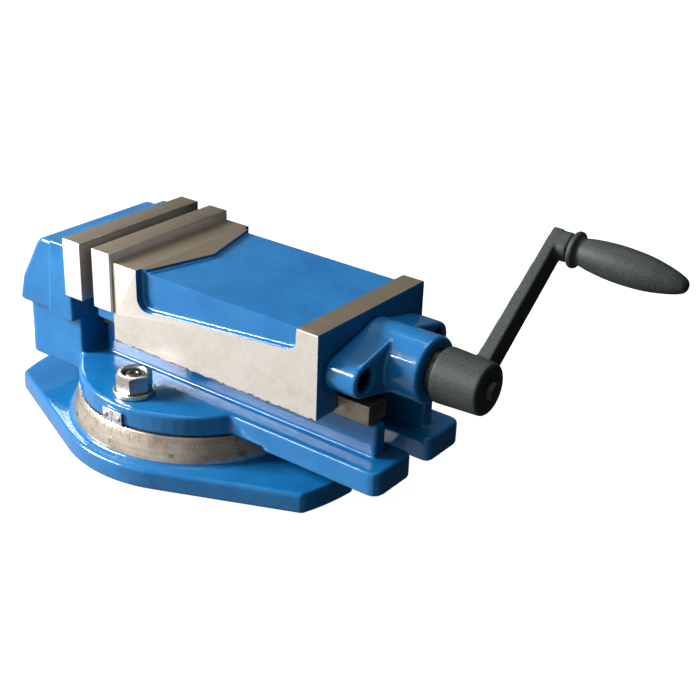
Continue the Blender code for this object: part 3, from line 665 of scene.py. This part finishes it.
def build_cap_screws():
    groups = [("way_screw_", "+Z", 5), ("nut_screw_", "+Z", 6), ("keeper_screw_", "-Z", 5),
              ("fixed_plate_screw_", "+X", 10), ("moving_plate_screw_", "-X", 10), ("bracket_bolt_", "+X", 8)]
    for prefix, way, thread in groups:
        for node in sorted(frame["nodes"]):
            if not node.startswith(prefix):
                continue
            head_r, head_h = CAP_HEADS[thread]
            low, high = corners(node)
            length = max(high - low)
            top = screw_seat(node, way)
            edge = 0.09 * thread
            profile = [(0, 0), (head_r - edge, 0), (head_r - 0.3 * edge, -0.3 * edge), (head_r, -edge),
                       (head_r, -head_h), (thread / 2, -head_h), (thread / 2, -length), (0, -length)]
            screw = turned("cap_" + node, profile, top, AXES[way], 48)
            socket = hexagon("socket", top, AXES[way], -0.5 * thread, 2, 0.8 * thread)
            boolean(screw, "DIFFERENCE", socket)
            paint(smooth(screw), BLACK_OXIDE)
            stand_in(screw, frame["nodes"][node]["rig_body"], "black_steel", node)


def build_clamps():
    """Nut, washer and threaded bolt end on each round lug."""
    for side in SIDES:
        low, high = corners("clamp_washer_" + side)
        middle = (low + high) / 2
        at = (middle.x, middle.y, 0)
        washer = turned("flat_washer_" + side,
                        [(11.9, high.z), (12.3, high.z - 0.4), (12.3, low.z + 0.3), (12.0, low.z),
                         (6.5, low.z), (6.5, high.z - 0.3), (6.8, high.z)], at, AXES["+Z"], 96, ring=True)
        paint(smooth(washer), ZINC)
        stand_in(washer, "bed", "zinc_plate", "clamp_washer_" + side)

        low, high = corners("clamp_nut_" + side)
        nut = hexagon("hex_nut_" + side, at, AXES["+Z"], low.z, high.z, 18.7)
        crown = turned("crown",
                       [(0, high.z + 0.1), (8.7, high.z + 0.1), (9.3, high.z), (11.4, high.z - 1.35),
                        (11.4, low.z + 1.1), (9.6, low.z), (0, low.z)], at, AXES["+Z"], 96)
        boolean(nut, "INTERSECT", crown)
        hole = turned("hole", [(0, 80), (7.5, 80), (7.5, high.z), (6.4, high.z - 1.1), (6.4, 30), (0, 30)],
                      at, AXES["+Z"], 64)
        boolean(nut, "DIFFERENCE", hole)
        soft_edges(nut, 0.25, 2, 20)
        paint(smooth(nut), PLAIN_STEEL)
        stand_in(nut, "bed", "plain_steel", "clamp_nut_" + side)

        low, high = corners("clamp_bolt_" + side)
        bolt = rod("bolt_shank_" + side, at, AXES["+Z"], low.z + 7, 46, 5.9)
        head = slab("head", low, (high.x, high.y, low.z + 7.4))
        soft_edges(head, 0.8, 2)
        end = threaded("end", at, AXES["+Z"], 44, high.z - 0.9, 5.9, 5.2, 1.75)
        tip = turned("tip", [(0, high.z - 0.7), (2.0, high.z - 0.7), (2.6, high.z), (4.6, high.z),
                             (5.3, high.z - 0.9), (5.2, high.z - 2.5), (0, high.z - 2.5)], at, AXES["+Z"], 48)
        merge(bolt, head, end, tip)
        paint(smooth(bolt), OILED_STEEL)
        stand_in(bolt, "bed", "plain_steel", "clamp_bolt_" + side)


def build_index():
    """The small index plate with its rivets and centre line."""
    low, high = corners("index_plate")
    plate = slab("index_tag", low, high)
    soft_edges(plate, 0.25, 2)
    paint(smooth(plate), ALUMINIUM)
    stand_in(plate, "bed", "aluminium", "index_plate")
    middle = (low.x + high.x) / 2
    line = slab("index_line", (middle - 0.25, low.y - 0.04, low.z), (middle + 0.25, low.y + 0.2, low.z + 4.2))
    zero = turned("zero", [(1.25, 0.2), (1.25, -0.2), (0.8, -0.2), (0.8, 0.2)],
                  (middle, low.y, low.z + 6.2), AXES["-Y"], 24, ring=True)
    zero.data.transform(Matrix.Translation((0, 0.16 * MM, 0)))
    merge(line, zero)
    paint(line, INK)
    stand_in(line, "bed", "aluminium")
    for side in ("left", "right"):
        node = "index_rivet_" + side
        low, high = corners(node)
        middle = (low + high) / 2
        dome = [(0, 0.85), (0.7, 0.78), (1.3, 0.5), (1.7, 0.15), (1.75, -0.1), (0.9, -0.1), (0.9, -4.3),
                (0, -4.3)]
        rivet = turned("tag_" + node, dome, (middle.x, low.y + 0.85, middle.z), AXES["-Y"], 32)
        paint(smooth(rivet), PLAIN_STEEL)
        stand_in(rivet, "bed", "plain_steel", node)


# ---------------------------------------------------------------- screw line, crank and grip

def build_screw():
    """Thread, journal with its thrust collar, nose and the square under the crank, as one turned screw."""
    at = (0, 0, SCREW_Z)
    _low, high = corners("lead_screw")
    journal_end = corners("crank")[0].x - 0.3
    profile = [(0, journal_end), (8.6, journal_end), (SCREW_R, journal_end - 0.4), (SCREW_R, 134.6),
               (14.6, 134.6), (15.0, 134.2), (15.0, 130.4), (14.6, 130), (7.2, 130), (7.2, 127), (0, 127)]
    screw = turned("screw_journal", profile, at, AXES["+X"], 64)
    thread = threaded("thread", at, AXES["+X"], 1.2, 127.5, SCREW_R, 7.0, 4.0, 48)
    nose = turned("nose", [(0, 3), (7.0, 3), (7.0, 1), (6.0, 0.05), (0, 0.05)], at, AXES["+X"], 48)
    square = slab("square", (170, -6, -6), (high.x, 6, 6))
    soft_edges(square, 0.5, 2)
    square.data.transform(Matrix.Translation((0, 0, SCREW_Z * MM)) @ Matrix.Rotation(CRANK_TURN, 4, "X"))
    merge(screw, thread, nose, square)
    paint(smooth(screw), PLAIN_STEEL)
    stand_in(screw, "screw", "plain_steel", "lead_screw")


def build_crank():
    crank = copy_of("crank", "crank_casting")
    cast(crank, 0.5, 9)
    paint(smooth(crank, 180), CRANK_PAINT)
    stand_in(crank, "screw", "crank_iron", "crank")


def spline(points, steps):
    """Catmull-Rom points through a profile."""
    def between(a, b, c, d, t):
        return 0.5 * (2 * b + (c - a) * t + (2 * a - 5 * b + 4 * c - d) * t * t
                      + (3 * b - a - 3 * c + d) * t ** 3)

    out = []
    padded = [points[0], *points, points[-1]]
    for four in zip(padded, padded[1:], padded[2:], padded[3:]):
        for k in range(steps):
            out.append(tuple(between(*values, k / steps) for values in zip(*four)))
    out.append(points[-1])
    return out


def build_grip():
    """The turned grip: a bead, a long swelling body, and the bore its spindle runs in."""
    bore = [(0, 55.4), (4.3, 55.4), (4.3, 0.6)]
    bead = [(8.0, 0.6), (9.7, 1.3), (10.2, 2.7), (9.8, 4.0), (8.3, 5.0), (7.6, 6.2)]
    body = [(8.0, 8.5), (8.6, 11.5), (9.4, 18), (9.9, 25), (10.0, 31), (9.7, 39), (9.0, 46), (7.9, 52),
            (6.5, 58), (5.2, 62), (3.9, 64.8), (2.2, 66.3), (0.0, 66.8)]
    outline = [(max(radius, 0.0), height) for radius, height in spline(bead + body, 4)]
    grip = turned("grip_turned", bore + outline, GRIP_AT, GRIP_AXIS, 72)
    paint(smooth(grip, 60), CRANK_PAINT)
    stand_in(grip, "grip", "crank_iron", "handle_grip")


def dress_cad_nodes():
    """Carried-over CAD nodes get their finishes."""
    # The stop collar gets the near-black oxide finish as painted shade for the shaded gap between the bracket
    # boss and the crank hub.
    finishes = {"pivot_pin": PLAIN_STEEL, "keeper_front": WAY_GROUND, "keeper_rear": WAY_GROUND,
                "screw_nut": BRONZE, "bracket_bush": BRONZE, "thrust_washer_inner": BRONZE,
                "thrust_washer_outer": BRONZE, "stop_collar": BLACK_OXIDE, "collar_set_screw": BLACK_OXIDE,
                "crank_bolt": CRANK_PAINT, "grip_spindle": PLAIN_STEEL}
    for node, material in finishes.items():
        paint(frame["nodes"][node], material)


# ---------------------------------------------------------------- studio

def build_floor():
    """A pale glowing ground just below the base, kept out of reflections and bounced light."""
    reach = 4000
    floor = slab("floor", (-reach, -reach, -6), (reach, reach, -1.5))
    s = Shader("pale_floor", Roughness=1.0, Specular_IOR_Level=0.0)
    s.surface.inputs["Base Color"].default_value = (0.2, 0.2, 0.2, 1)
    s.surface.inputs["Emission Color"].default_value = (1, 1, 1, 1)
    s.surface.inputs["Emission Strength"].default_value = 0.98
    paint(floor, s.material)
    floor.visible_glossy = False
    floor.visible_diffuse = False


def build_world():
    """A plain surround, brighter to the left and in front, that the metal reflects."""
    world = bpy.data.worlds.new("studio")
    bpy.context.scene.world = world
    world.use_nodes = True
    tree = world.node_tree
    tree.nodes.clear()
    out = tree.nodes.new("ShaderNodeOutputWorld")
    back = tree.nodes.new("ShaderNodeBackground")
    tree.links.new(back.outputs[0], out.inputs["Surface"])
    where = tree.nodes.new("ShaderNodeTexCoord")
    toward = tree.nodes.new("ShaderNodeVectorMath")
    toward.operation = "DOT_PRODUCT"
    toward.inputs[1].default_value = Vector((-0.72, -0.62, 0.10)).normalized()
    tree.links.new(where.outputs["Generated"], toward.inputs[0])
    ramp = tree.nodes.new("ShaderNodeValToRGB")
    stops = ramp.color_ramp.elements
    stops.new(0.5)
    for stop, colour in zip(stops, ((0.003, 0.003, 0.005), (0.15, 0.14, 0.13), (1.0, 0.98, 0.95))):
        stop.color = (*colour, 1)
    shift = tree.nodes.new("ShaderNodeMapRange")
    shift.inputs["From Min"].default_value = -1.0
    shift.inputs["From Max"].default_value = 1.0
    tree.links.new(toward.outputs["Value"], shift.inputs["Value"])
    tree.links.new(shift.outputs[0], ramp.inputs[0])
    tree.links.new(ramp.outputs[0], back.inputs["Color"])
    back.inputs["Strength"].default_value = 1.0


def area_light(name, toward, distance, size, power, height=None, glossy_only=False):
    """A flat soft light that hangs in a direction from the vise and faces it.

    A glossy_only light shows in reflections and throws no light on matt paint.
    """
    middle = Vector((0.03, 0, 0.07))
    light = bpy.data.lights.new(name, "AREA")
    light.shape = "RECTANGLE"
    light.size = size
    light.size_y = height or size
    light.energy = power
    obj = bpy.data.objects.new(name, light)
    bpy.context.scene.collection.objects.link(obj)
    way = Vector(toward).normalized()
    obj.location = middle + way * distance
    obj.rotation_euler = way.to_track_quat("Z", "Y").to_euler()
    obj.visible_diffuse = not glossy_only


def build_camera():
    """The view: above the near side, towards the crank's end, with a slight roll."""
    azimuth, elevation, roll = map(math.radians, (35.93, 25.82, 2.24))
    back = Vector((math.sin(azimuth) * math.cos(elevation), -math.cos(azimuth) * math.cos(elevation),
                   math.sin(elevation)))
    right = Vector((math.cos(azimuth), math.sin(azimuth), 0))
    up = back.cross(right)
    level = Matrix((right, up, back)).transposed().to_4x4()
    camera = bpy.data.cameras.new("camera")
    camera.lens = 65.69
    camera.sensor_width = 36
    camera.shift_x = 0.0011
    camera.shift_y = -0.0037
    camera.clip_start = 0.01
    obj = bpy.data.objects.new("camera", camera)
    bpy.context.scene.collection.objects.link(obj)
    obj.matrix_world = (Matrix.Translation(Vector((482.1, -511.7, 391.7)) * MM) @ level
                        @ Matrix.Rotation(roll, 4, "Z"))
    bpy.context.scene.camera = obj


build_base()
build_ring()
build_digits()
build_bed()
build_ways()
build_plates()
build_jaw()
build_bracket()
build_cap_screws()
build_clamps()
build_index()
build_screw()
build_crank()
build_grip()
dress_cad_nodes()

build_floor()
build_world()
area_light("key", (-0.80, -0.60, 0.46), 1.3, 0.40, 38)
area_light("strip", (-0.60, -0.66, 0.50), 1.3, 0.60, 14, height=0.13, glossy_only=True)
area_light("overhead", (-0.1, 0.2, 1.0), 1.4, 0.8, 7)
build_camera()
bpy.context.scene.view_settings.view_transform = "Standard"
